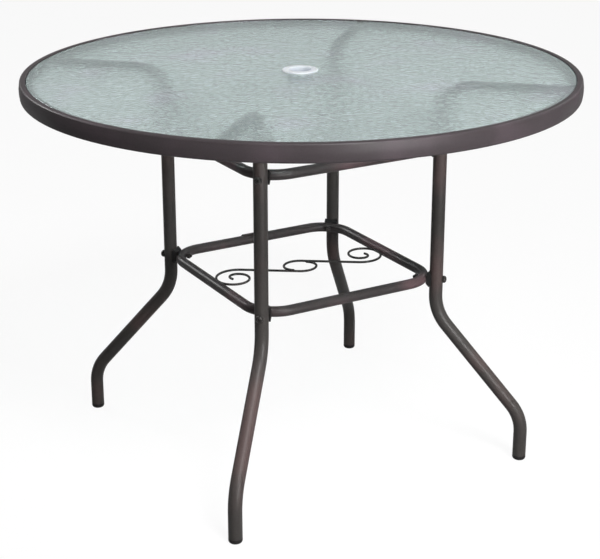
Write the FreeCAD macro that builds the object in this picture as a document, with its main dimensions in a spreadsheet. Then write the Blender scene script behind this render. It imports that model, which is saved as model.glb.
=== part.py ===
"""Round glass-topped patio table with a hole for an umbrella pole, on four bent tube legs.

Millimetres, +Z up. The origin lies on the floor, on the table's axis. The legs stand on the
diagonals, and the scrollwork of the lower ring runs between its two sides across X.
"""
import FreeCAD, Part
import math
import os
import re

import Sketcher
from FreeCAD import Placement, Rotation, Vector

doc = FreeCAD.newDocument("umbrella_table")
sheet = doc.addObject("Spreadsheet::Sheet", "Sizes")

# Driving sizes, in millimetres, degrees and counts
DRIVING = {
    # whole table
    "table_diameter": 1016,
    "table_height": 732,
    # rolled rim round the glass
    "rim_height": 32,
    "rim_width": 23,
    "rim_lip_width": 12.5,
    "rim_lip_round": 1.5,
    "rim_corner_radius": 4,
    "rim_bulge": 1.2,
    "rim_foot_bevel": 2.5,
    # glass pane and the bumpers that it lies on
    "glass_thickness": 5,
    "glass_drop": 1.5,
    "glass_edge_gap": 1,
    "glass_edge_bevel": 0.8,
    "bumper_thickness": 1,
    "bumper_length": 14,
    "bumper_width": 7,
    "bumper_count": 8,
    # plastic ring and nut in the umbrella hole
    "pole_hole_diameter": 42,
    "pole_ring_wall": 3,
    "pole_ring_hole_gap": 0.75,
    "pole_ring_depth": 24,
    "pole_flange_diameter": 66,
    "pole_flange_thickness": 2.6,
    "pole_flange_round": 1.6,
    "pole_nut_diameter": 60,
    "pole_nut_height": 7,
    "pole_nut_gap": 0.2,
    "pole_nut_notch_radius": 3,
    "pole_nut_notch_count": 8,
    # bent tube legs
    "leg_tube_diameter": 25,
    "leg_wall": 1.5,
    "leg_circle_radius": 262,
    "foot_circle_radius": 431.5,
    "ankle_height": 87.5,
    "knee_height": 285,
    "ankle_bend_radius": 82,
    "knee_bend_radius": 90,
    "arm_bend_radius": 60,
    "arm_glass_gap": 1,
    "arm_end_gap": 2,
    # foot caps
    "cap_height": 9,
    "cap_round": 5,
    "cap_floor": 3,
    "cap_stem_length": 24,
    "cap_stem_wall": 2.2,
    "cap_stem_gap": 0.15,
    # stubs on the rim that the arms slide over, and their screws
    "stub_length": 46,
    "stub_wall": 2.5,
    "stub_gap": 0.2,
    "stub_end_bevel": 1.5,
    "stub_seat_gap": 0.25,
    "screw_inset": 17,
    "screw_diameter": 6,
    "screw_length": 8,
    "screw_head_diameter": 11,
    "screw_head_height": 3.6,
    # square ring braces, below the arm's bend and above the knee
    "upper_ring_drop": 51,
    "lower_ring_rise": 65,
    "ring_tube_diameter": 19,
    "ring_bend_radius": 59,
    "strap_length": 48,
    "strap_thickness": 2.4,
    "strap_gap": 0.1,
    "strap_start_angle": -20,
    "strap_end_angle": 110,
    # moulded saddles between the rings and the legs
    "saddle_web": 3,
    "saddle_height": 26,
    "saddle_ring_height": 14,
    "saddle_width": 26,
    "saddle_leg_wrap": 5,
    "saddle_ring_wrap": 2,
    "saddle_lip_bevel": 2.5,
    "saddle_gap": 0.1,
    # bolts and nuts through leg, saddle and ring
    "bolt_diameter": 6,
    "bolt_hole_gap": 0.3,
    "bolt_tip_bevel": 0.8,
    "bolt_end_length": 3.5,
    "bolt_head_diameter": 13.5,
    "bolt_head_height": 6.5,
    "bolt_head_dome": 3.5,
    "bolt_head_flat": 6.4,
    "key_width": 4,
    "key_depth": 2.5,
    "nut_width": 10,
    "nut_height": 5.5,
    "nut_seat_gap": 0.3,
    "nut_bore_gap": 0.1,
    # wire scrolls in the lower ring
    "wire_diameter": 4.5,
    "weld_gap": 0.2,
    "scroll_angle": 146,
    "scroll_bar_offset": 28.5,
    "hook_radius": 31,
    "curl_radius_1": 42,
    "curl_radius_2": 30.5,
    "curl_radius_3": 30.5,
    "curl_radius_4": 19.5,
    "curl_radius_5": 14,
    "curl_last_turn": 120,
}

# Sizes that follow from the driving ones
DERIVED = {
    "rim_radius": "table_diameter / 2",
    "rim_edge_radius": "rim_radius - rim_bulge",
    "rim_inner_radius": "rim_radius - rim_width",
    "rim_bottom": "table_height - rim_height",
    "rim_half_face": "rim_height / 2 - rim_corner_radius",
    "rim_bulge_radius": "(rim_half_face ^ 2 + rim_bulge ^ 2) / (2 * rim_bulge)",
    "lip_radius": "rim_radius - rim_lip_width",
    "glass_radius": "lip_radius - glass_edge_gap",
    "glass_top": "table_height - glass_drop",
    "glass_bottom": "glass_top - glass_thickness",
    "ledge_height": "glass_bottom - bumper_thickness",
    "ledge_middle": "(lip_radius + rim_inner_radius) / 2",
    "pole_radius": "pole_hole_diameter / 2",
    "sleeve_radius": "pole_radius + pole_ring_wall",
    "sleeve_bottom": "glass_bottom - pole_ring_depth",
    "glass_hole_radius": "sleeve_radius + pole_ring_hole_gap",
    "flange_radius": "pole_flange_diameter / 2",
    "flange_top": "glass_top + pole_flange_thickness",
    "pole_nut_radius": "pole_nut_diameter / 2",
    "leg_radius": "leg_tube_diameter / 2",
    "leg_bore_radius": "leg_radius - leg_wall",
    "arm_height": "glass_bottom - arm_glass_gap - leg_radius",
    "arm_end_radius": "rim_inner_radius - arm_end_gap",
    "slope_run": "foot_circle_radius - leg_circle_radius",
    "slope_drop": "knee_height - ankle_height",
    "slope_length": "sqrt(slope_run ^ 2 + slope_drop ^ 2)",
    "slope_sine": "slope_run / slope_length",
    "slope_cosine": "slope_drop / slope_length",
    "knee_tangent": "knee_bend_radius * (1 - slope_cosine) / slope_sine",
    "ankle_tangent": "ankle_bend_radius * (1 - slope_cosine) / slope_sine",
    "cap_bore_depth": "cap_stem_length + cap_floor",
    "cap_stem_radius": "leg_bore_radius - cap_stem_gap",
    "stub_radius": "leg_bore_radius - stub_gap",
    "stub_end": "rim_inner_radius - stub_seat_gap",
    "stub_tip": "stub_end - stub_length",
    "arm_bore_depth": "arm_end_radius - stub_tip + leg_wall",
    "screw_circle_radius": "arm_end_radius - screw_inset",
    "screw_seat": "arm_height - leg_radius",
    "upper_ring_height": "arm_height - arm_bend_radius - upper_ring_drop",
    "lower_ring_height": "knee_height + lower_ring_rise",
    "ring_tube_radius": "ring_tube_diameter / 2",
    "ring_corner_reach": "leg_circle_radius - leg_radius - saddle_web - ring_tube_radius",
    "ring_half_side": "(ring_corner_reach + ring_bend_radius * (sqrt(2) - 1)) / sqrt(2)",
    "ring_bend_centre": "ring_half_side - ring_bend_radius",
    "strap_inner_radius": "ring_tube_radius + strap_gap",
    "strap_outer_radius": "strap_inner_radius + strap_thickness",
    "bolt_seat": "leg_circle_radius + leg_radius",
    "bolt_hole_radius": "bolt_diameter / 2 + bolt_hole_gap",
    "bolt_head_radius": "bolt_head_diameter / 2",
    "bolt_dome_rise": "bolt_head_radius - bolt_head_flat / 2",
    "nut_face": "ring_corner_reach - ring_tube_radius - nut_seat_gap",
    "nut_back": "nut_face - nut_height",
    "bolt_tip": "nut_back - bolt_end_length",
    "wire_radius": "wire_diameter / 2",
    "hook_tip_radius": "2 * scroll_bar_offset - wire_diameter - weld_gap - hook_radius",
    "curl_turn": "270 - scroll_angle",
    "curl_touch": "ring_half_side - ring_tube_radius - wire_radius - weld_gap",
    "curl_touch_y": "scroll_bar_offset + curl_radius_1 * (1 - cos(curl_turn))",
    "curl_touch_x": "(sin(scroll_angle) * curl_touch_y - curl_touch) / cos(scroll_angle)",
    "scroll_bar_end": "curl_touch_x - curl_radius_1 * sin(curl_turn)",
}

ALIASES = {**DRIVING, **DERIVED}

# Where the legs stand, as angles about the table's axis
LEG_PLACES = {
    "front_left": -135,
    "front_right": -45,
    "back_right": 45,
    "back_left": 135,
}
LEG_COUNT = len(LEG_PLACES)

sub_parts = []


def fill_sheet():
    """Write each size beside its name, and each formula after the sizes that it uses."""
    for row, (alias, entry) in enumerate(ALIASES.items(), start=1):
        text = f"={entry}" if isinstance(entry, str) else f"{entry}"
        sheet.set(f"A{row}", alias)
        sheet.set(f"B{row}", text)
        sheet.setAlias(f"B{row}", alias)
    doc.recompute()


def bound(formula):
    """The formula as other objects read it, with every size taken from the sheet."""
    return re.sub(
        r"[a-z_]\w*",
        lambda word: f"{sheet.Name}.{word.group(0)}" if word.group(0) in ALIASES else word.group(0),
        formula,
    )


def value(formula):
    """The formula's number at the present sizes."""
    result = sheet.evalExpression(formula)
    return float(getattr(result, "Value", result))


def origin_part(body, role):
    """One of the body's own origin planes or axes."""
    return next(part for part in body.Origin.OriginFeatures if part.Role == role)


class Drawing:
    """A sketch on a plane of its own body, with every point placed by formulas."""

    def __init__(self, body, name, plane, offset=None, turned=0):
        self.sketch = body.newObject("Sketcher::SketchObject", name)
        self.sketch.AttachmentSupport = (origin_part(body, plane), [""])
        self.sketch.MapMode = "FlatFace"
        self.sketch.AttachmentOffset = Placement(Vector(), Rotation(Vector(0, 1, 0), turned))
        if offset is not None:
            self.sketch.setExpression("AttachmentOffset.Base.z", bound(offset))
        self.first = None
        self.last = None

    def hold(self, kind, *where, formula):
        """Add one size to the sketch and bind it to its formula."""
        index = self.sketch.addConstraint(Sketcher.Constraint(kind, *where, value(formula)))
        self.sketch.setExpression(f"Constraints[{index}]", bound(formula))

    def place(self, corner, x, y):
        """Fix a point of the sketch at x and y from its origin."""
        self.hold("DistanceX", -1, 1, *corner, formula=x)
        self.hold("DistanceY", -1, 1, *corner, formula=y)

    def join(self, begin, end, x, y):
        """Carry the outline on from its last point to a new one."""
        if self.last is None:
            self.first = begin
            self.place(begin, *self.start)
        else:
            self.sketch.addConstraint(Sketcher.Constraint("Coincident", *self.last, *begin))
        if (x, y) == self.start:
            self.sketch.addConstraint(Sketcher.Constraint("Coincident", *end, *self.first))
        else:
            self.place(end, x, y)
        self.last = end
        self.here = (x, y)

    def begin(self, x, y):
        self.start = self.here = (x, y)
        self.first = self.last = None
        return self

    def line(self, x, y):
        ends = [Vector(value(a), value(b), 0) for a, b in (self.here, (x, y))]
        index = self.sketch.addGeometry(Part.LineSegment(*ends))
        self.join((index, 1), (index, 2), x, y)
        return self

    def arc(self, x, y, radius, left=False):
        """An arc of less than half a turn, bending left or right as it is followed."""
        begin, end = [Vector(value(a), value(b), 0) for a, b in (self.here, (x, y))]
        chord = end - begin
        size = value(radius)
        rise = math.sqrt(max(size ** 2 - chord.Length ** 2 / 4, 0))
        side = Vector(-chord.y, chord.x, 0).normalize() * (rise if left else -rise)
        middle = (begin + end) / 2 + side
        low, high = (begin, end) if left else (end, begin)
        angles = [math.atan2(tip.y - middle.y, tip.x - middle.x) for tip in (low, high)]
        circle = Part.Circle(middle, Vector(0, 0, 1), size)
        index = self.sketch.addGeometry(Part.ArcOfCircle(circle, *angles))
        self.join((index, 1 if left else 2), (index, 2 if left else 1), x, y)
        self.hold("Radius", index, formula=radius)
        return self

    def circle(self, x, y, radius):
        circle = Part.Circle(Vector(value(x), value(y), 0), Vector(0, 0, 1), value(radius))
        index = self.sketch.addGeometry(circle)
        self.place((index, 3), x, y)
        self.hold("Radius", index, formula=radius)
        return self

    def hexagon(self, x, y, flats):
        """A hexagon of the given width across its flats, with a corner to the side."""
        corners = [
            (f"{x} + {flats} / sqrt(3) * cos({step * 60})", f"{y} + {flats} / sqrt(3) * sin({step * 60})")
            for step in range(6)
        ]
        self.begin(*corners[0])
        for corner in corners[1:] + corners[:1]:
            self.line(*corner)
        return self

    def axis(self, begin, end):
        """A construction line to turn a profile about."""
        ends = [Vector(value(a), value(b), 0) for a, b in (begin, end)]
        index = self.sketch.addGeometry(Part.LineSegment(*ends), True)
        self.place((index, 1), *begin)
        self.place((index, 2), *end)
        return self


def new_body(name, angle=0):
    """A sub-part, drawn in the X-Z plane and turned about the table's axis to its place."""
    body = doc.addObject("PartDesign::Body", name)
    body.Label = name
    body.AllowCompound = True
    body.Placement = Placement(Vector(), Rotation(Vector(0, 0, 1), angle))
    sub_parts.append(body)
    return body


def pad(body, name, drawing, length, both_ways=False):
    feature = body.newObject("PartDesign::Pad", name)
    feature.Profile = drawing.sketch
    feature.setExpression("Length", bound(length))
    feature.Midplane = both_ways
    doc.recompute()
    return feature


def revolve(body, name, drawing, axis="V_Axis"):
    feature = body.newObject("PartDesign::Revolution", name)
    feature.Profile = drawing.sketch
    feature.ReferenceAxis = (drawing.sketch, [axis])
    feature.Angle = 360
    doc.recompute()
    return feature


def sweep(body, name, profile, path):
    feature = body.newObject("PartDesign::AdditivePipe", name)
    feature.Profile = profile.sketch
    feature.Spine = (path.sketch, [])
    doc.recompute()
    return feature


def check_cut(body, before, name):
    """Stop if a cut has taken nothing away."""
    doc.recompute()
    if not body.Shape.Volume < before - 1e-6:
        raise RuntimeError(f"{body.Label}: {name} cuts nothing")


def pocket(body, name, drawing, depth=None, reverse=False):
    """Cut a drawing's shape to a depth, or both ways through all with no depth given."""
    before = body.Shape.Volume
    feature = body.newObject("PartDesign::Pocket", name)
    feature.Profile = drawing.sketch
    if depth is None:
        feature.Type = "ThroughAll"
        feature.Midplane = True
    else:
        feature.setExpression("Length", bound(depth))
        feature.Reversed = reverse
    check_cut(body, before, name)
    return feature


def pattern(body, name, features, count, angle=360):
    """Repeat features about the table's axis."""
    feature = body.newObject("PartDesign::PolarPattern", name)
    feature.Originals = features
    feature.Axis = (origin_part(body, "Z_Axis"), [""])
    feature.Angle = angle
    feature.setExpression("Occurrences", bound(f"{count}"))
    body.Tip = feature
    doc.recompute()
    return feature


def make_rim():
    """Rolled rim: a convex outer face, a rounded lip and a ledge under the glass."""
    body = new_body("table_rim")
    section = Drawing(body, "rim_section", "XZ_Plane")
    section.begin("lip_radius", "table_height - rim_lip_round")
    section.arc("lip_radius + rim_lip_round", "table_height", "rim_lip_round")
    section.line("rim_edge_radius - rim_corner_radius", "table_height")
    section.arc("rim_edge_radius", "table_height - rim_corner_radius", "rim_corner_radius")
    section.arc("rim_edge_radius", "rim_bottom + rim_corner_radius", "rim_bulge_radius")
    section.arc("rim_edge_radius - rim_corner_radius", "rim_bottom", "rim_corner_radius")
    section.line("rim_inner_radius + rim_foot_bevel", "rim_bottom")
    section.line("rim_inner_radius", "rim_bottom + rim_foot_bevel")
    section.line("rim_inner_radius", "ledge_height")
    section.line("lip_radius", "ledge_height")
    section.line("lip_radius", "table_height - rim_lip_round")
    revolve(body, "rim_turn", section)


def make_glass():
    """Tempered pane with ground edges and a hole for the umbrella ring.

    Its top is kept as two faces: the flange's seat round the hole, and the open surface.
    """
    body = new_body("glass_top")
    section = Drawing(body, "glass_section", "XZ_Plane")
    section.begin("glass_hole_radius", "glass_bottom")
    section.line("glass_radius - glass_edge_bevel", "glass_bottom")
    section.line("glass_radius", "glass_bottom + glass_edge_bevel")
    section.line("glass_radius", "glass_top - glass_edge_bevel")
    section.line("glass_radius - glass_edge_bevel", "glass_top")
    section.line("flange_radius", "glass_top")
    section.line("glass_hole_radius", "glass_top")
    section.line("glass_hole_radius", "glass_bottom")
    turn = revolve(body, "glass_turn", section)
    turn.Refine = False


def make_bumpers():
    """Clear pads on the rim's ledge, which the glass lies on."""
    body = new_body("glass_bumpers")
    plan = Drawing(body, "bumper_plan", "XY_Plane", "ledge_height")
    inner = "ledge_middle - bumper_width / 2"
    outer = "ledge_middle + bumper_width / 2"
    plan.begin(inner, "-bumper_length / 2")
    plan.line(outer, "-bumper_length / 2")
    plan.line(outer, "bumper_length / 2")
    plan.line(inner, "bumper_length / 2")
    plan.line(inner, "-bumper_length / 2")
    first = pad(body, "bumper_pad", plan, "bumper_thickness")
    pattern(body, "bumper_circle", [first], "bumper_count")


def make_umbrella_ring():
    """Flanged plastic sleeve in the glass, which guides the umbrella pole."""
    body = new_body("umbrella_ring")
    section = Drawing(body, "sleeve_section", "XZ_Plane")
    section.begin("pole_radius", "sleeve_bottom")
    section.line("sleeve_radius", "sleeve_bottom")
    section.line("sleeve_radius", "glass_top")
    section.line("flange_radius", "glass_top")
    section.line("flange_radius", "flange_top - pole_flange_round")
    section.arc("flange_radius - pole_flange_round", "flange_top", "pole_flange_round", left=True)
    section.line("pole_radius", "flange_top")
    section.line("pole_radius", "sleeve_bottom")
    revolve(body, "sleeve_turn", section)


def make_umbrella_nut():
    """Ring nut that clamps the sleeve from below, with notches for the fingers."""
    body = new_body("umbrella_ring_nut")
    section = Drawing(body, "nut_section", "XZ_Plane")
    bottom = "glass_bottom - pole_nut_height"
    section.begin("sleeve_radius + pole_nut_gap", bottom)
    section.line("pole_nut_radius", bottom)
    section.line("pole_nut_radius", "glass_bottom")
    section.line("sleeve_radius + pole_nut_gap", "glass_bottom")
    section.line("sleeve_radius + pole_nut_gap", bottom)
    revolve(body, "nut_turn", section)
    notch = Drawing(body, "notch_plan", "XY_Plane", "glass_bottom")
    notch.circle("pole_nut_radius", "0", "pole_nut_notch_radius")
    cut = pocket(body, "notch", notch, "pole_nut_height")
    pattern(body, "notch_circle", [cut], "pole_nut_notch_count")


def make_leg(place, angle):
    """Tube bent at ankle, knee and top, with its arm running out under the glass to the rim."""
    body = new_body(f"leg_{place}", angle)
    path = Drawing(body, "leg_line", "XZ_Plane")
    path.begin("foot_circle_radius", "cap_height")
    path.line("foot_circle_radius", "ankle_height - ankle_tangent")
    path.arc("foot_circle_radius - ankle_tangent * slope_sine",
             "ankle_height + ankle_tangent * slope_cosine", "ankle_bend_radius", left=True)
    path.line("leg_circle_radius + knee_tangent * slope_sine",
              "knee_height - knee_tangent * slope_cosine")
    path.arc("leg_circle_radius", "knee_height + knee_tangent", "knee_bend_radius")
    path.line("leg_circle_radius", "arm_height - arm_bend_radius")
    path.arc("leg_circle_radius + arm_bend_radius", "arm_height", "arm_bend_radius")
    path.line("arm_end_radius", "arm_height")
    tube = Drawing(body, "tube_circle", "XY_Plane", "cap_height")
    tube.circle("foot_circle_radius", "0", "leg_radius")
    sweep(body, "leg_tube", tube, path)
    foot_bore = Drawing(body, "foot_bore_circle", "XY_Plane", "cap_height")
    foot_bore.circle("foot_circle_radius", "0", "leg_bore_radius")
    pocket(body, "foot_bore", foot_bore, "cap_bore_depth", reverse=True)
    arm_bore = Drawing(body, "arm_bore_circle", "YZ_Plane", "arm_end_radius")
    arm_bore.circle("0", "arm_height", "leg_bore_radius")
    pocket(body, "arm_bore", arm_bore, "arm_bore_depth")
    screw_hole = Drawing(body, "screw_hole_circle", "XY_Plane", "arm_height")
    screw_hole.circle("screw_circle_radius", "0", "screw_diameter / 2 + bolt_hole_gap")
    pocket(body, "screw_hole", screw_hole, "leg_radius + leg_wall")
    for level in ("upper", "lower"):
        bolt_hole = Drawing(body, f"{level}_hole_circle", "YZ_Plane")
        bolt_hole.circle("0", f"{level}_ring_height", "bolt_hole_radius")
        pocket(body, f"{level}_bolt_hole", bolt_hole)


def make_foot_cap(place, angle):
    """Plastic cap with a rounded sole, plugged into the foot of a leg by a hollow stem."""
    body = new_body(f"foot_cap_{place}", angle)
    middle = "foot_circle_radius"
    stem_top = "cap_height + cap_stem_length"
    section = Drawing(body, "cap_section", "XZ_Plane")
    section.axis((middle, "0"), (middle, stem_top))
    section.begin(middle, "0")
    section.line(f"{middle} + leg_radius - cap_round", "0")
    section.arc(f"{middle} + leg_radius", "cap_round", "cap_round", left=True)
    section.line(f"{middle} + leg_radius", "cap_height")
    section.line(f"{middle} + cap_stem_radius", "cap_height")
    section.line(f"{middle} + cap_stem_radius", stem_top)
    section.line(f"{middle} + cap_stem_radius - cap_stem_wall", stem_top)
    section.line(f"{middle} + cap_stem_radius - cap_stem_wall", "cap_floor")
    section.line(middle, "cap_floor")
    section.line(middle, "0")
    revolve(body, "cap_turn", section, "Axis0")


def make_stub(place, angle):
    """Short tube welded to the rim's inner wall, which a leg's arm slides over."""
    body = new_body(f"rim_stub_{place}", angle)
    section = Drawing(body, "stub_section", "XZ_Plane")
    section.axis(("stub_tip", "arm_height"), ("stub_end", "arm_height"))
    section.begin("stub_tip", "arm_height + stub_radius - stub_wall")
    section.line("stub_tip", "arm_height + stub_radius - stub_end_bevel")
    section.line("stub_tip + stub_end_bevel", "arm_height + stub_radius")
    section.line("stub_end", "arm_height + stub_radius")
    section.line("stub_end", "arm_height")
    section.line("stub_end - stub_wall", "arm_height")
    section.line("stub_end - stub_wall", "arm_height + stub_radius - stub_wall")
    section.line("stub_tip", "arm_height + stub_radius - stub_wall")
    revolve(body, "stub_turn", section, "Axis0")
    screw_hole = Drawing(body, "screw_hole_circle", "XY_Plane", "arm_height")
    screw_hole.circle("screw_circle_radius", "0", "screw_diameter / 2 + bolt_hole_gap")
    pocket(body, "screw_hole", screw_hole, "stub_radius + stub_wall")


def make_stub_screws():
    """Domed screws that hold the arms on the stubs from below."""
    body = new_body("rim_stub_screws", LEG_PLACES["back_right"])
    middle = "screw_circle_radius"
    low = "screw_seat - screw_head_height"
    section = Drawing(body, "screw_section", "XZ_Plane")
    section.axis((middle, low), (middle, "screw_seat"))
    section.begin(middle, low)
    section.line(f"{middle} + screw_head_diameter / 4", low)
    section.line(f"{middle} + screw_head_diameter / 2", "screw_seat - screw_head_height / 2")
    section.line(f"{middle} + screw_head_diameter / 2", "screw_seat")
    section.line(f"{middle} + screw_diameter / 2", "screw_seat")
    section.line(f"{middle} + screw_diameter / 2", "screw_seat + screw_length")
    section.line(middle, "screw_seat + screw_length")
    section.line(middle, low)
    screw = revolve(body, "screw_turn", section, "Axis0")
    pattern(body, "screw_circle", [screw], LEG_COUNT)


def make_ring(level):
    """Square tube ring with round corners, bolted to the legs at its corners."""
    height = f"{level}_ring_height"
    body = new_body(f"{level}_ring")
    path = Drawing(body, "ring_line", "XY_Plane", height)
    path.begin("0", "ring_half_side")
    path.line("-ring_bend_centre", "ring_half_side")
    path.arc("-ring_half_side", "ring_bend_centre", "ring_bend_radius", left=True)
    path.line("-ring_half_side", "-ring_bend_centre")
    path.arc("-ring_bend_centre", "-ring_half_side", "ring_bend_radius", left=True)
    path.line("ring_bend_centre", "-ring_half_side")
    path.arc("ring_half_side", "-ring_bend_centre", "ring_bend_radius", left=True)
    path.line("ring_half_side", "ring_bend_centre")
    path.arc("ring_bend_centre", "ring_half_side", "ring_bend_radius", left=True)
    path.line("0", "ring_half_side")
    tube = Drawing(body, "tube_circle", "YZ_Plane")
    tube.circle("ring_half_side", height, "ring_tube_radius")
    sweep(body, "ring_tube", tube, path)
    hole = Drawing(body, "corner_hole_circle", "XZ_Plane", turned=45)
    hole.circle("0", height, "bolt_hole_radius")
    cut = pocket(body, "corner_holes", hole)
    pattern(body, "all_corner_holes", [cut], 2, 90)


def make_ring_strap(level):
    """Curved strap over the joint where the ends of the ring's tube meet."""
    height = f"{level}_ring_height"
    body = new_body(f"{level}_ring_strap")

    def tip(radius, angle):
        return f"ring_half_side + {radius} * cos({angle})", f"{height} + {radius} * sin({angle})"

    half_way = "(strap_start_angle + strap_end_angle) / 2"
    section = Drawing(body, "strap_section", "YZ_Plane")
    section.begin(*tip("strap_inner_radius", "strap_start_angle"))
    section.line(*tip("strap_outer_radius", "strap_start_angle"))
    section.arc(*tip("strap_outer_radius", half_way), "strap_outer_radius", left=True)
    section.arc(*tip("strap_outer_radius", "strap_end_angle"), "strap_outer_radius", left=True)
    section.line(*tip("strap_inner_radius", "strap_end_angle"))
    section.arc(*tip("strap_inner_radius", half_way), "strap_inner_radius")
    section.arc(*tip("strap_inner_radius", "strap_start_angle"), "strap_inner_radius")
    pad(body, "strap", section, "strap_length", both_ways=True)


def make_saddle(level, place, angle):
    """Moulded spacer, hollowed to the leg on one side and to the ring's bend on the other."""
    height = f"{level}_ring_height"
    body = new_body(f"{level}_saddle_{place}", angle)
    inner = "ring_corner_reach + ring_tube_radius - saddle_ring_wrap"
    middle = "leg_circle_radius - leg_radius"
    outer = "leg_circle_radius - leg_radius + saddle_leg_wrap"
    section = Drawing(body, "saddle_section", "XZ_Plane")
    section.begin(inner, f"{height} - saddle_ring_height / 2")
    section.line(middle, f"{height} - saddle_height / 2")
    section.line(f"{outer} - saddle_lip_bevel", f"{height} - saddle_height / 2")
    section.line(outer, f"{height} - saddle_height / 2 + saddle_lip_bevel")
    section.line(outer, f"{height} + saddle_height / 2 - saddle_lip_bevel")
    section.line(f"{outer} - saddle_lip_bevel", f"{height} + saddle_height / 2")
    section.line(middle, f"{height} + saddle_height / 2")
    section.line(inner, f"{height} + saddle_ring_height / 2")
    section.line(inner, f"{height} - saddle_ring_height / 2")
    pad(body, "saddle_block", section, "saddle_width", both_ways=True)
    leg_channel = Drawing(body, "leg_channel_circle", "XY_Plane")
    leg_channel.circle("leg_circle_radius", "0", "leg_radius + saddle_gap")
    pocket(body, "leg_channel", leg_channel)
    before = body.Shape.Volume
    bend = body.newObject("PartDesign::SubtractiveTorus", "ring_channel")
    bend.AttachmentSupport = (origin_part(body, "XY_Plane"), [""])
    bend.MapMode = "FlatFace"
    bend.setExpression("AttachmentOffset.Base.x", bound("ring_corner_reach - ring_bend_radius"))
    bend.setExpression("AttachmentOffset.Base.z", bound(height))
    bend.setExpression("Radius1", bound("ring_bend_radius"))
    bend.setExpression("Radius2", bound("ring_tube_radius + saddle_gap"))
    check_cut(body, before, "ring_channel")
    bolt_hole = Drawing(body, "bolt_hole_circle", "YZ_Plane")
    bolt_hole.circle("0", height, "bolt_hole_radius")
    pocket(body, "bolt_hole", bolt_hole)


def make_bolts(level):
    """Domed bolts with a socket for a key, through leg, saddle and ring."""
    height = f"{level}_ring_height"
    body = new_body(f"{level}_ring_bolts", LEG_PLACES["back_right"])
    section = Drawing(body, "bolt_section", "XZ_Plane")
    section.axis(("bolt_tip", height), ("bolt_seat", height))
    section.begin("bolt_tip", height)
    section.line("bolt_tip", f"{height} + bolt_diameter / 2 - bolt_tip_bevel")
    section.line("bolt_tip + bolt_tip_bevel", f"{height} + bolt_diameter / 2")
    section.line("bolt_seat", f"{height} + bolt_diameter / 2")
    section.line("bolt_seat", f"{height} + bolt_head_radius")
    section.line("bolt_seat + bolt_head_height - bolt_head_dome", f"{height} + bolt_head_radius")
    section.arc("bolt_seat + bolt_head_height", f"{height} + bolt_head_flat / 2",
                "sqrt(bolt_head_dome ^ 2 + bolt_dome_rise ^ 2)")
    section.line("bolt_seat + bolt_head_height", height)
    section.line("bolt_tip", height)
    bolt = revolve(body, "bolt_turn", section, "Axis0")
    key = Drawing(body, "key_hexagon", "YZ_Plane", "bolt_seat + bolt_head_height")
    key.hexagon("0", height, "key_width")
    socket = pocket(body, "key_socket", key, "key_depth")
    pattern(body, "bolt_circle", [bolt, socket], LEG_COUNT)


def make_nuts(level):
    """Hexagon nuts on the bolts, inside the ring's corners."""
    height = f"{level}_ring_height"
    body = new_body(f"{level}_ring_nuts", LEG_PLACES["back_right"])
    section = Drawing(body, "nut_hexagon", "YZ_Plane", "nut_back")
    section.hexagon("0", height, "nut_width")
    section.circle("0", height, "bolt_diameter / 2 + nut_bore_gap")
    nut = pad(body, "nut", section, "nut_height")
    pattern(body, "nut_circle", [nut], LEG_COUNT)


def make_scroll(side, angle):
    """Wire bent to an S: a hook round the table's axis, a straight bar and a closing curl."""
    body = new_body(f"scroll_{side}", value("scroll_angle") + angle)
    path = Drawing(body, "scroll_line", "XY_Plane", "lower_ring_height")
    hook_y = "scroll_bar_offset - hook_radius"
    tip_x, tip_y = "hook_tip_radius - hook_radius", f"{hook_y} - hook_tip_radius"
    path.begin(tip_x, tip_y)
    path.arc("-hook_radius", hook_y, "hook_tip_radius")
    path.arc("0", "scroll_bar_offset", "hook_radius")
    path.line("scroll_bar_end", "scroll_bar_offset")
    path.arc("curl_touch_x", "curl_touch_y", "curl_radius_1", left=True)
    x, y, heading = "curl_touch_x", "curl_touch_y", "curl_turn"
    for number, turn in enumerate(("90", "90", "90", "curl_last_turn"), start=2):
        radius = f"curl_radius_{number}"
        x = f"{x} + {radius} * (sin({heading} + {turn}) - sin({heading}))"
        y = f"{y} + {radius} * (cos({heading}) - cos({heading} + {turn}))"
        path.arc(x, y, radius, left=True)
        heading = f"{heading} + {turn}"
    wire = Drawing(body, "wire_circle", "YZ_Plane", tip_x)
    wire.circle(tip_y, "lower_ring_height", "wire_radius")
    sweep(body, "scroll_wire", wire, path)


def check_document():
    """Stop at any object that failed or any sub-part that isn't a sound solid."""
    doc.recompute()
    for item in doc.Objects:
        if "Invalid" in item.State or "Error" in item.State:
            raise RuntimeError(f"{item.Name}: {item.State}")
    for body in sub_parts:
        shape = body.Shape
        if shape.isNull() or not shape.isValid() or not shape.Solids:
            raise RuntimeError(f"{body.Label}: no sound solid")


fill_sheet()
make_rim()
make_glass()
make_bumpers()
make_umbrella_ring()
make_umbrella_nut()
for leg_place, leg_angle in LEG_PLACES.items():
    make_leg(leg_place, leg_angle)
    make_foot_cap(leg_place, leg_angle)
    make_stub(leg_place, leg_angle)
make_stub_screws()
for ring_level in ("upper", "lower"):
    make_ring(ring_level)
    make_ring_strap(ring_level)
    for leg_place, leg_angle in LEG_PLACES.items():
        make_saddle(ring_level, leg_place, leg_angle)
    make_bolts(ring_level)
    make_nuts(ring_level)
make_scroll("left", 0)
make_scroll("right", 180)
check_document()

os.makedirs("parts", exist_ok=True)
for body in sub_parts:
    body.Shape.exportStep(f"parts/{body.Label}.step")
    print(body.Label, len(body.Shape.Solids), round(body.Shape.Volume))
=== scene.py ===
import math

import bmesh
import bpy
from mathutils import Matrix, Vector, noise


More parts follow.
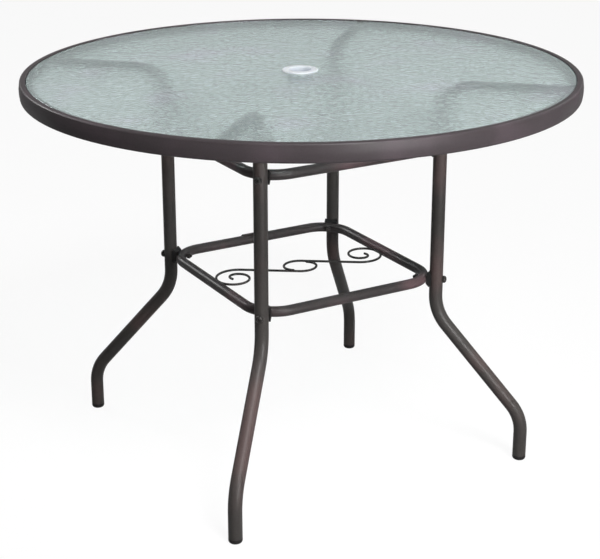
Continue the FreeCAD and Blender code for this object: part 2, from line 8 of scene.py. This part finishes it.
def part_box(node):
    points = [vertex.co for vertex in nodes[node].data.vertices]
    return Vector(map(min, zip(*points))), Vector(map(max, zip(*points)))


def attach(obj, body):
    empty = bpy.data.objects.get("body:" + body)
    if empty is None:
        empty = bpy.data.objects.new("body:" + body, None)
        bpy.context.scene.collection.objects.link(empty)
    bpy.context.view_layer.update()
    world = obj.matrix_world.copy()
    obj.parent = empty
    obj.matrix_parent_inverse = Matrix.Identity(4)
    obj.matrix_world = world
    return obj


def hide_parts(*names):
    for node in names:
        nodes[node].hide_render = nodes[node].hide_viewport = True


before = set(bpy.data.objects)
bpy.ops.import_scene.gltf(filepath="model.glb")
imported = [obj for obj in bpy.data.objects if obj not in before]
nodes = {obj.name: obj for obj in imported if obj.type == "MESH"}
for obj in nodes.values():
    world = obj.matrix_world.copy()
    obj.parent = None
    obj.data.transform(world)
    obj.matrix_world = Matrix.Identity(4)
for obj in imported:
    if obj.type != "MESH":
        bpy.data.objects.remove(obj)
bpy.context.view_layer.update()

bpy.ops.object.select_all(action="DESELECT")


# Rolled rim
# A strip of steel rolled to a ring, with a lip beside the glass, a ledge under it and a bulged
# outer face. It is powder coated dark bronze, satin, with a fine orange peel and a brown bloom.
def new_group(name, inputs, outputs):
    """A shader node group with named inputs, each a (kind, default) pair, and named outputs."""
    group = bpy.data.node_groups.new(name, "ShaderNodeTree")
    for socket, (kind, default) in inputs.items():
        made = group.interface.new_socket(socket, in_out="INPUT", socket_type=f"NodeSocket{kind}")
        if default is not None:
            made.default_value = default
    for socket, kind in outputs.items():
        group.interface.new_socket(socket, in_out="OUTPUT", socket_type=f"NodeSocket{kind}")
    return group, group.nodes.new("NodeGroupInput"), group.nodes.new("NodeGroupOutput")


def add_node(tree, kind, inputs=None, **settings):
    """One node of a tree with its settings, and its inputs given as values or linked sockets."""
    node = tree.nodes.new(f"ShaderNode{kind}")
    for name, setting in settings.items():
        setattr(node, name, setting)
    for name, source in (inputs or {}).items():
        if isinstance(source, bpy.types.NodeSocket):
            tree.links.new(source, node.inputs[name])
        else:
            node.inputs[name].default_value = source
    return node


def spread(tree, value, low, high, to_low=0.0, to_high=1.0):
    """A value's range from low to high stretched smoothly to another range."""
    return add_node(
        tree, "MapRange",
        {"Value": value, "From Min": low, "From Max": high, "To Min": to_low, "To Max": to_high},
        interpolation_type="SMOOTHSTEP",
    ).outputs["Result"]


def blend_colours(tree, share, first, second, how="MIX"):
    """Two colours mixed by a share from 0 to 1."""
    return add_node(
        tree, "Mix", {0: share, 6: first, 7: second}, data_type="RGBA", blend_type=how,
    ).outputs[2]


FLECKS_PER_METRE = 1400.0
PEEL_PER_METRE = 420.0
PEEL_HEIGHT = 0.0004


def powder_coat_group():
    """A baked powder coat with patches of bloom, a metal fleck and an orange peel."""
    group, given, made = new_group(
        "Powder coat",
        {
            "Vector": ("Vector", None),
            "Coat": ("Color", (0.04, 0.04, 0.04, 1)),
            "Bloom": ("Color", (0.07, 0.05, 0.05, 1)),
            "Patches Per Metre": ("Float", 9.0),
            "Roughness": ("Float", 0.4),
            "Peel": ("Float", 0.25),
        },
        {"Color": "Color", "Roughness": "Float", "Normal": "Vector"},
    )
    place = given.outputs["Vector"]
    patches = add_node(
        group, "TexNoise",
        {"Vector": place, "Scale": given.outputs["Patches Per Metre"], "Detail": 3.0},
    ).outputs["Fac"]
    fleck = add_node(
        group, "TexNoise",
        {"Vector": place, "Scale": FLECKS_PER_METRE, "Detail": 1.0},
    ).outputs["Fac"]
    peel = add_node(
        group, "TexNoise",
        {"Vector": place, "Scale": PEEL_PER_METRE, "Detail": 2.0},
    ).outputs["Fac"]
    tinted = blend_colours(
        group, spread(group, patches, 0.44, 0.66), given.outputs["Coat"], given.outputs["Bloom"])
    speckled = blend_colours(
        group, 1.0, tinted, spread(group, fleck, 0.3, 0.7, 0.8, 1.25), "MULTIPLY")
    rough = add_node(
        group, "Math",
        {0: given.outputs["Roughness"], 1: spread(group, patches, 0.3, 0.7, -0.05, 0.06)},
        operation="ADD",
    )
    bump = add_node(
        group, "Bump",
        {"Strength": given.outputs["Peel"], "Distance": PEEL_HEIGHT, "Height": peel},
    )
    group.links.new(speckled, made.inputs["Color"])
    group.links.new(rough.outputs[0], made.inputs["Roughness"])
    group.links.new(bump.outputs["Normal"], made.inputs["Normal"])
    return group


coat_effect = powder_coat_group()


def new_material(name, effect, inputs):
    """A material whose colour, roughness and normal come from an effect on Object coordinates."""
    material = bpy.data.materials.new(name)
    material.use_nodes = True
    tree = material.node_tree
    shader = tree.nodes["Principled BSDF"]
    place = add_node(tree, "TexCoord").outputs["Object"]
    finish = add_node(tree, "Group", node_tree=effect)
    tree.links.new(place, finish.inputs["Vector"])
    for name, setting in inputs.items():
        finish.inputs[name].default_value = setting
    tree.links.new(finish.outputs["Color"], shader.inputs["Base Color"])
    tree.links.new(finish.outputs["Roughness"], shader.inputs["Roughness"])
    tree.links.new(finish.outputs["Normal"], shader.inputs["Normal"])
    return material, shader


COAT_SHEEN = 0.2


def coated_steel(name, coat, bloom, roughness=0.42, patches=9.0, peel=0.25):
    """Steel under a satin powder coat of two close colours."""
    material, shader = new_material(name, coat_effect, {
        "Coat": (*coat, 1),
        "Bloom": (*bloom, 1),
        "Patches Per Metre": patches,
        "Roughness": roughness,
        "Peel": peel,
    })
    shader.inputs["Specular IOR Level"].default_value = COAT_SHEEN
    return material


def dress(material, *names):
    """Give CAD nodes their finish."""
    for name in names:
        for slot in nodes[name].material_slots:
            slot.material = material


rim_finish = coated_steel("Rim coat", (0.045, 0.037, 0.040), (0.059, 0.046, 0.052))
dress(rim_finish, "table_rim")


# Patterned pane
# Tempered obscure glass, rolled with ripples on its upper face and ground at its edges. It lies
# on the ledge of the rim, and the sleeve of the parasol pole is clamped in its hole.
GLASS_SEGMENTS = 720
GLASS_RINGS = 126
RIPPLE_DEPTH = 0.00065
RIPPLE_HEADING = math.radians(-29)
RIPPLE_LENGTH = 0.0115
RIPPLE_WIDTH = 0.0185
RIPPLE_FADE = 0.006
RIPPLE_SWELL = 0.7
SWAY_LENGTH = 0.05
SWAY_SHARE = 0.8
SWAY_SLICE = 3.1
PEBBLES_PER_METRE = 54
PEBBLE_SQUEEZE = (1.25, 1.0, 1.0)
PEBBLE_BEND = (0.012, 0.012, 0.0)
PEBBLE_HEIGHT = 0.0006
SNUG = 0.00005
SMOOTH_ANGLE = math.radians(35)

glass_low, glass_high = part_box("glass_top")
glass_radius = glass_high.x
glass_thickness = glass_high.z - glass_low.z
glass_points = [vertex.co for vertex in nodes["glass_top"].data.vertices]
glass_hole = min(point.xy.length for point in glass_points)
glass_flat = max(point.xy.length for point in glass_points if point.z > glass_high.z - 2 * SNUG)
glass_bevel = glass_radius - glass_flat
flange_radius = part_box("umbrella_ring")[1].x


def near(a, b):
    """Whether two lengths are the same, but for rounding."""
    return abs(a - b) < SNUG


def choose(piece, test):
    """In edit mode, select the vertices that pass a test, with the edges and faces between them."""
    mesh = bmesh.from_edit_mesh(piece.data)
    bpy.ops.mesh.select_all(action="DESELECT")
    for vertex in mesh.verts:
        vertex.select = test(vertex.co)
    mesh.select_flush(True)
    bmesh.update_edit_mesh(piece.data)


def settle(piece, name, material):
    """Finish a piece: its name, place, smooth faces, material and body."""
    piece.name = name
    piece.data.name = name
    bpy.ops.object.select_all(action="DESELECT")
    piece.select_set(True)
    bpy.context.view_layer.objects.active = piece
    bpy.ops.object.transform_apply(location=True, rotation=True, scale=True)
    bpy.ops.object.shade_smooth_by_angle(angle=SMOOTH_ANGLE)
    piece.select_set(False)
    piece.data.materials.clear()
    piece.data.materials.append(material)
    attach(piece, "root")


def ripple(x, y):
    """How far the rolled pattern lies below its crests at a place, from 0 to 1."""
    along = x * math.cos(RIPPLE_HEADING) + y * math.sin(RIPPLE_HEADING)
    across = y * math.cos(RIPPLE_HEADING) - x * math.sin(RIPPLE_HEADING)
    sway = noise.noise(Vector((along / SWAY_LENGTH, across / SWAY_LENGTH, SWAY_SLICE)))
    lane = across / RIPPLE_WIDTH + SWAY_SHARE * sway
    wave = noise.noise(Vector((along / RIPPLE_LENGTH, lane, 0.0)))
    return min(max(0.5 - RIPPLE_SWELL * wave, 0.0), 1.0)


def glass_effect_group():
    """Pale aqua glass with lilac patches and a fine waviness between the ripples, with painted
    shade in the ripple troughs and along the pebble edges and painted highlight on the crests.
    """
    group, given, made = new_group(
        "Patterned glass",
        {"Vector": ("Vector", None)},
        {"Color": "Color", "Roughness": "Float", "Normal": "Vector"},
    )
    place = given.outputs["Vector"]
    turned = add_node(
        group, "Mapping", {"Vector": place, "Rotation": (0, 0, -RIPPLE_HEADING)}).outputs["Vector"]
    sway = add_node(group, "TexNoise", {"Vector": turned, "Scale": 55.0, "Detail": 1.0})
    swayed = add_node(
        group, "VectorMath",
        {0: sway.outputs["Color"], 1: PEBBLE_BEND, 2: turned},
        operation="MULTIPLY_ADD",
    ).outputs["Vector"]
    squeezed = add_node(
        group, "Mapping", {"Vector": swayed, "Scale": PEBBLE_SQUEEZE}).outputs["Vector"]
    edge = add_node(
        group, "TexVoronoi", {"Vector": squeezed, "Scale": PEBBLES_PER_METRE},
        feature="DISTANCE_TO_EDGE", voronoi_dimensions="2D",
    ).outputs["Distance"]
    pebbles = spread(group, edge, 0.0, 0.3)
    clouds = add_node(
        group, "TexNoise", {"Vector": place, "Scale": 7.0, "Detail": 2.0}).outputs["Fac"]
    tint = blend_colours(
        group, spread(group, clouds, 0.5, 0.75), (0.735, 0.855, 0.845, 1), (0.775, 0.84, 0.885, 1))
    # Painted shade and highlight: the tint is darkened in the ripple troughs and lightened on the
    # crests, by the height of the glass surface.
    depth = add_node(group, "SeparateXYZ", {"Vector": place}).outputs["Z"]
    crests = spread(group, depth, glass_high.z - RIPPLE_DEPTH, glass_high.z, 0.9, 1.05)
    painted_ripple_shade_tint = blend_colours(group, 1.0, tint, crests, "MULTIPLY")
    # Painted shade: the tint is darkened along the pebble edges, the grooves between the pebbles,
    # and lightened a little in their middles.
    painted_pebble_shade_tint = blend_colours(
        group, 1.0, painted_ripple_shade_tint, spread(group, pebbles, 0.0, 1.0, 0.85, 1.02), "MULTIPLY")
    bump = add_node(
        group, "Bump", {"Strength": 0.35, "Distance": PEBBLE_HEIGHT, "Height": pebbles})
    group.links.new(painted_pebble_shade_tint, made.inputs["Color"])
    group.links.new(spread(group, pebbles, 0.0, 1.0, 0.2, 0.16), made.inputs["Roughness"])
    group.links.new(bump.outputs["Normal"], made.inputs["Normal"])
    return group


glass_finish, glass_shader = new_material("Patterned glass", glass_effect_group(), {})
glass_shader.inputs["Transmission Weight"].default_value = 0.87
glass_shader.inputs["IOR"].default_value = 1.5
glass_shader.inputs["Specular Tint"].default_value = (0.85, 1, 1, 1)

bpy.ops.mesh.primitive_circle_add(
    vertices=GLASS_SEGMENTS, radius=glass_hole, location=(0, 0, glass_high.z))
pane = bpy.context.object
bpy.ops.object.mode_set(mode="EDIT")
bpy.ops.mesh.primitive_circle_add(
    vertices=GLASS_SEGMENTS, radius=glass_flat, location=(0, 0, glass_high.z))
bpy.ops.mesh.select_all(action="SELECT")
bpy.ops.mesh.bridge_edge_loops(number_cuts=GLASS_RINGS, interpolation="LINEAR")
choose(pane, lambda p: near(p.xy.length, glass_flat))
for drop, reach in (
    (glass_bevel, glass_radius / glass_flat),
    (glass_thickness - 2 * glass_bevel, 1),
    (glass_bevel, glass_flat / glass_radius),
):
    bpy.ops.mesh.extrude_edges_move(TRANSFORM_OT_translate={"value": (0, 0, -drop)})
    bpy.ops.transform.resize(value=(reach, reach, 1))
choose(pane, lambda p: near(p.xy.length, glass_hole))
bpy.ops.mesh.extrude_edges_move(TRANSFORM_OT_translate={"value": (0, 0, -glass_thickness)})
choose(pane, lambda p: near(p.z, -glass_thickness))
bpy.ops.mesh.bridge_edge_loops()
bpy.ops.mesh.select_all(action="SELECT")
bpy.ops.mesh.normals_make_consistent(inside=False)
bpy.ops.object.mode_set(mode="OBJECT")
for vertex in pane.data.vertices:
    radius = vertex.co.xy.length
    if near(vertex.co.z, 0) and flange_radius < radius < glass_flat:
        inset = min(radius - flange_radius, glass_flat - radius, RIPPLE_FADE) / RIPPLE_FADE
        vertex.co.z -= RIPPLE_DEPTH * inset * ripple(vertex.co.x, vertex.co.y)
settle(pane, "patterned_pane", glass_finish)
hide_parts("glass_top")


# Umbrella sleeve and its nut
# A flanged sleeve of cool white plastic, moulded with a fine grain, sits in the hole of the glass.
# A ring nut of the same plastic is screwed on it from below and clamps it to the glass.
FLOW_MARKS_PER_METRE = 60.0
GRAIN_PER_METRE = 1800.0
GRAIN_HEIGHT = 0.0002


def moulded_group():
    """Moulded plastic: a fine grain, faint flow marks and an even colour."""
    group, given, made = new_group(
        "Moulded plastic",
        {
            "Vector": ("Vector", None),
            "Tone": ("Color", (0.8, 0.8, 0.8, 1)),
            "Variation": ("Float", 0.05),
            "Roughness": ("Float", 0.45),
            "Grain": ("Float", 0.2),
        },
        {"Color": "Color", "Roughness": "Float", "Normal": "Vector"},
    )
    place = given.outputs["Vector"]
    flow = add_node(
        group, "TexNoise",
        {"Vector": place, "Scale": FLOW_MARKS_PER_METRE, "Detail": 2.0},
    ).outputs["Fac"]
    grain = add_node(
        group, "TexNoise",
        {"Vector": place, "Scale": GRAIN_PER_METRE, "Detail": 2.0},
    ).outputs["Fac"]
    lift = add_node(
        group, "Math",
        {0: spread(group, flow, 0.3, 0.7, -1.0, 1.0), 1: given.outputs["Variation"], 2: 1.0},
        operation="MULTIPLY_ADD",
    ).outputs[0]
    tone = blend_colours(group, 1.0, given.outputs["Tone"], lift, "MULTIPLY")
    rough = add_node(
        group, "Math",
        {0: given.outputs["Roughness"], 1: spread(group, grain, 0.3, 0.7, -0.04, 0.04)},
        operation="ADD",
    )
    bump = add_node(
        group, "Bump",
        {"Strength": given.outputs["Grain"], "Distance": GRAIN_HEIGHT, "Height": grain},
    )
    group.links.new(tone, made.inputs["Color"])
    group.links.new(rough.outputs[0], made.inputs["Roughness"])
    group.links.new(bump.outputs["Normal"], made.inputs["Normal"])
    return group


moulded_effect = moulded_group()


def moulded_plastic(name, tone, variation, roughness, grain):
    """Plastic of one tone, with its flow marks and grain as strong as given."""
    return new_material(name, moulded_effect, {
        "Tone": (*tone, 1),
        "Variation": variation,
        "Roughness": roughness,
        "Grain": grain,
    })


white_plastic, white_shader = moulded_plastic(
    "White plastic", (0.77, 0.85, 1.0), variation=0.02, roughness=0.42, grain=0.15)
white_shader.inputs["Subsurface Weight"].default_value = 0.9
white_shader.inputs["Subsurface Radius"].default_value = (1, 1, 1)
white_shader.inputs["Subsurface Scale"].default_value = 0.02
dress(white_plastic, "umbrella_ring", "umbrella_ring_nut")


# Glass bumpers
# Eight clear pads of soft vinyl, stuck to the ledge of the rim. The pane lies on them and doesn't
# touch the metal.
vinyl, vinyl_shader = moulded_plastic(
    "Clear vinyl", (0.72, 0.76, 0.75), variation=0.03, roughness=0.3, grain=0.1)
vinyl_shader.inputs["Transmission Weight"].default_value = 0.6
dress(vinyl, "glass_bumpers")


# Legs
# Four steel tubes, bent at ankle, knee and top, whose arms run out under the glass to the rim.
# They are powder coated like the rim, and the bloom falls in longer patches.
leg_finish = coated_steel("Leg coat", (0.043, 0.039, 0.037), (0.071, 0.050, 0.048), patches=6.0)
LEG_PLACES = ("front_left", "front_right", "back_right", "back_left")
dress(leg_finish, *[f"leg_{place}" for place in LEG_PLACES])


# Foot caps
# Plugs of black plastic, moulded with a fine matt grain and a rounded sole, and pushed into the
# open ends of the legs.
black_plastic, black_shader = moulded_plastic(
    "Black plastic", (0.014, 0.013, 0.013), variation=0.15, roughness=0.5, grain=0.4)
black_shader.inputs["Specular IOR Level"].default_value = 0.2
dress(black_plastic, *[f"foot_cap_{place}" for place in LEG_PLACES])


# Rim stubs
# Short tubes that stand in from the rim, which the arms slide over. Each is joined to the rim by
# a weld bead, a ring of overlapping scales laid by hand and coated with the rest.
BEAD_RADIUS = 0.0011
BEAD_SCALES = 28
BEAD_SCALE_DEPTH = 0.00022
END_DEPTH = 0.0001
stub_finish = coated_steel("Stub coat", (0.028, 0.026, 0.026), (0.05, 0.04, 0.04))
dress(stub_finish, *[f"rim_stub_{place}" for place in LEG_PLACES])
weld_finish = coated_steel(
    "Weld coat", (0.026, 0.024, 0.024), (0.045, 0.036, 0.036), roughness=0.5, patches=60, peel=0.6)
for place in LEG_PLACES:
    points = [vertex.co for vertex in nodes[f"rim_stub_{place}"].data.vertices]
    middle = sum(points, Vector()) / len(points)
    outward = Vector((middle.x, middle.y, 0)).normalized()
    reach = max(point.dot(outward) for point in points)
    heights = [point.z for point in points if point.dot(outward) > reach - END_DEPTH]
    height = (max(heights) + min(heights)) / 2
    radius = (max(heights) - min(heights)) / 2
    bpy.ops.mesh.primitive_torus_add(
        major_segments=168, minor_segments=10, major_radius=radius, minor_radius=BEAD_RADIUS)
    bead = bpy.context.object
    for vertex in bead.data.vertices:
        angle = math.atan2(vertex.co.y, vertex.co.x)
        swell = abs(math.sin(angle * BEAD_SCALES / 2)) * BEAD_SCALE_DEPTH / BEAD_RADIUS
        vertex.co += (vertex.co - vertex.co.normalized() * radius) * swell
    turn = outward.to_track_quat("Z", "Y").to_matrix().to_4x4()
    bead.matrix_world = Matrix.Translation(outward * reach + Vector((0, 0, height))) @ turn
    settle(bead, f"stub_bead_{place}", weld_finish)


# Ring braces and their straps
# Two squares of thinner tube with round corners. The ends of each tube meet in the middle of the
# back side, under a curved strap, and the whole is coated like the legs.
ring_finish = coated_steel("Ring coat", (0.038, 0.033, 0.033), (0.100, 0.062, 0.067), patches=7.0)
dress(ring_finish, "upper_ring", "lower_ring", "upper_ring_strap", "lower_ring_strap")


# Saddles
# Spacers of the same black plastic as the foot caps, hollowed to the leg on one side and to the
# corner of the ring on the other. The bolts run through them.
for level in ("upper", "lower"):
    dress(black_plastic, *[f"{level}_saddle_{place}" for place in LEG_PLACES])


# Bolts, nuts and screws
# Domed bolts with a socket for a key, hexagon nuts and domed screws, of steel blackened by a
# phosphate bath, a little glossier than the coat round them.
fastener_finish = coated_steel(
    "Blackened steel", (0.024, 0.022, 0.021), (0.05, 0.044, 0.042),
    roughness=0.34, patches=120, peel=0.1)
dress(fastener_finish, "upper_ring_bolts", "lower_ring_bolts", "upper_ring_nuts",
      "lower_ring_nuts", "rim_stub_screws")


# Scrolls
# Two wires bent to an S, hooked round each other in the middle and welded where they touch each
# other and the ring. The welds are small beads, drawn out along the wire.
scroll_finish = coated_steel(
    "Wire coat", (0.026, 0.025, 0.024), (0.042, 0.036, 0.035), patches=14.0)
dress(scroll_finish, "scroll_left", "scroll_right")

WELD_LENGTH = 0.0075
WELD_WIDTH = 0.0022
WELD_LUMP = 0.0003
WELD_LUMPS_PER_METRE = 400
WELD_SCALES = 9
WELD_SCALE_SHARE = 0.08
WIRE_END_DEPTH = 0.0002
HOOK_X = 0.0230
HOOK_Y = 0.0160
HOOK_HEADING = math.radians(146)


def add_weld(name, spot, along):
    """A drawn-out bead at a spot between two touching pieces."""
    bpy.ops.mesh.primitive_uv_sphere_add(segments=24, ring_count=16, radius=1)
    bead = bpy.context.object
    for vertex in bead.data.vertices:
        scales = 1 - WELD_SCALE_SHARE * abs(math.sin(vertex.co.z * WELD_SCALES))
        vertex.co.xy *= WELD_WIDTH * scales
        vertex.co.z *= WELD_LENGTH / 2
        lump = noise.noise(vertex.co * WELD_LUMPS_PER_METRE + spot * 90)
        vertex.co += Vector((1, 1, 0)) * WELD_LUMP * lump
    turn = along.to_track_quat("Z", "Y").to_matrix().to_4x4()
    bead.matrix_world = Matrix.Translation(spot) @ turn
    settle(bead, name, weld_finish)


left_wire = [vertex.co.copy() for vertex in nodes["scroll_left"].data.vertices]
right_wire = [vertex.co.copy() for vertex in nodes["scroll_right"].data.vertices]
wire_height = sum(point.z for point in left_wire) / len(left_wire)
for name, wire, side in (("ring_weld_left", left_wire, -1), ("ring_weld_right", right_wire, 1)):
    reach = max(point.x * side for point in wire)
    edge = [point for point in wire if point.x * side > reach - WIRE_END_DEPTH]
    spot = sum(edge, Vector()) / len(edge)
    spot.z = wire_height
    add_weld(name, spot, Vector((0, 1, 0)))
hook_along = Vector((math.cos(HOOK_HEADING), math.sin(HOOK_HEADING), 0))
for name, side in (("hook_weld_left", -1), ("hook_weld_right", 1)):
    add_weld(name, Vector((HOOK_X * side, HOOK_Y * side, wire_height)), hook_along)


# Studio
# A pale floor that keeps the table's shadow and runs to a white surround, soft lamps in front,
# above, beside and behind, and a camera at the height of a standing person's chest.
FLOOR_SIZE = 40
FLOOR_WHITE_SHARE = 0.93
FLOOR_DARK = (0.06, 0.06, 0.06, 1)
MIRRORED_SHARE = 0.3
SURROUND_LIGHT = 0.05
SURROUND_SEEN = 0.98
bpy.ops.mesh.primitive_plane_add(size=FLOOR_SIZE)
floor = bpy.context.object
floor.name = "studio_floor"

floor_paper = bpy.data.materials.new("Studio paper")
floor_paper.use_nodes = True
tree = floor_paper.node_tree
tree.nodes.clear()


def seen_directly(tree):
    """1 for rays from the camera or a look through glass, less for a reflection, 0 for light."""
    path = add_node(tree, "LightPath")
    either = add_node(
        tree, "Math",
        {0: path.outputs["Is Glossy Ray"], 1: MIRRORED_SHARE, 2: path.outputs["Is Camera Ray"]},
        operation="MULTIPLY_ADD", use_clamp=True)
    return add_node(
        tree, "Math", {0: either.outputs[0], 1: path.outputs["Is Transmission Ray"]},
        operation="MAXIMUM").outputs[0]


mottle = add_node(
    tree, "TexNoise", {"Vector": add_node(tree, "TexCoord").outputs["Object"], "Scale": 3.0})
mottled = blend_colours(tree, mottle.outputs["Fac"], (0.88, 0.88, 0.88, 1), (0.92, 0.92, 0.92, 1))
paper = add_node(
    tree, "BsdfDiffuse",
    {"Color": blend_colours(tree, seen_directly(tree), FLOOR_DARK, mottled)})
white = add_node(tree, "Emission", {"Color": (1, 1, 1, 1), "Strength": 1.0})
share = add_node(
    tree, "Math", {0: seen_directly(tree), 1: FLOOR_WHITE_SHARE}, operation="MULTIPLY")
surface = add_node(
    tree, "MixShader", {0: share.outputs[0], 1: paper.outputs[0], 2: white.outputs[0]})
tree.links.new(surface.outputs[0], add_node(tree, "OutputMaterial").inputs["Surface"])
floor.data.materials.append(floor_paper)

world = bpy.data.worlds.new("Studio surround")
bpy.context.scene.world = world
world.use_nodes = True
tree = world.node_tree
tree.nodes.clear()
strength = add_node(
    tree, "MapRange",
    {"Value": seen_directly(tree), "To Min": SURROUND_LIGHT, "To Max": SURROUND_SEEN})
surround = add_node(
    tree, "Background", {"Color": (1, 1, 1, 1), "Strength": strength.outputs["Result"]})
tree.links.new(surround.outputs[0], add_node(tree, "OutputWorld").inputs["Surface"])

CAMERA_PLACE = Vector((-1.2921, -2.2266, 1.3046))
CAMERA_AHEAD = Vector((0.4571769, 0.8289579, -0.3222081))
CAMERA_RIGHT = Vector((0.8745289, -0.4849267, -0.0067330))
CAMERA_LENS = 86.208
FRAME_SHIFT_X = 0.04925
FRAME_SHIFT_Y = -0.08725


def add_lamp(name, place, size, watts, aim=(0, 0, 0.5), spread=180):
    """A square soft box that faces a point on the table's axis, its spread in degrees."""
    lamp = bpy.data.lights.new(name, "AREA")
    lamp.size = size
    lamp.energy = watts
    lamp.spread = math.radians(spread)
    box = bpy.data.objects.new(name, lamp)
    bpy.context.scene.collection.objects.link(box)
    box.location = place
    box.rotation_euler = (Vector(aim) - Vector(place)).to_track_quat("-Z", "Y").to_euler()


add_lamp("top_softbox", (-0.15, -3.6, 4.6), 1.6, 350)
add_lamp("key_softbox", (0.1, -3.0, 0.8), 0.8, 4.8, aim=(0, 0, 0.38), spread=40)
add_lamp("side_softbox", (2.6, 0.8, 2.3), 1.0, 0.7, aim=(0, 0, 0.4), spread=40)
add_lamp("back_softbox", (-1.3, 2.8, 2.2), 1.0, 3.2, spread=40)

lens = bpy.data.cameras.new("camera")
lens.lens = CAMERA_LENS
lens.shift_x = FRAME_SHIFT_X
lens.shift_y = FRAME_SHIFT_Y
camera = bpy.data.objects.new("camera", lens)
bpy.context.scene.collection.objects.link(camera)
up = CAMERA_RIGHT.cross(CAMERA_AHEAD)
camera.matrix_world = Matrix.Translation(CAMERA_PLACE) @ Matrix(
    (CAMERA_RIGHT, up, -CAMERA_AHEAD)).transposed().to_4x4()
bpy.context.scene.camera = camera
bpy.context.scene.view_settings.view_transform = "Standard"
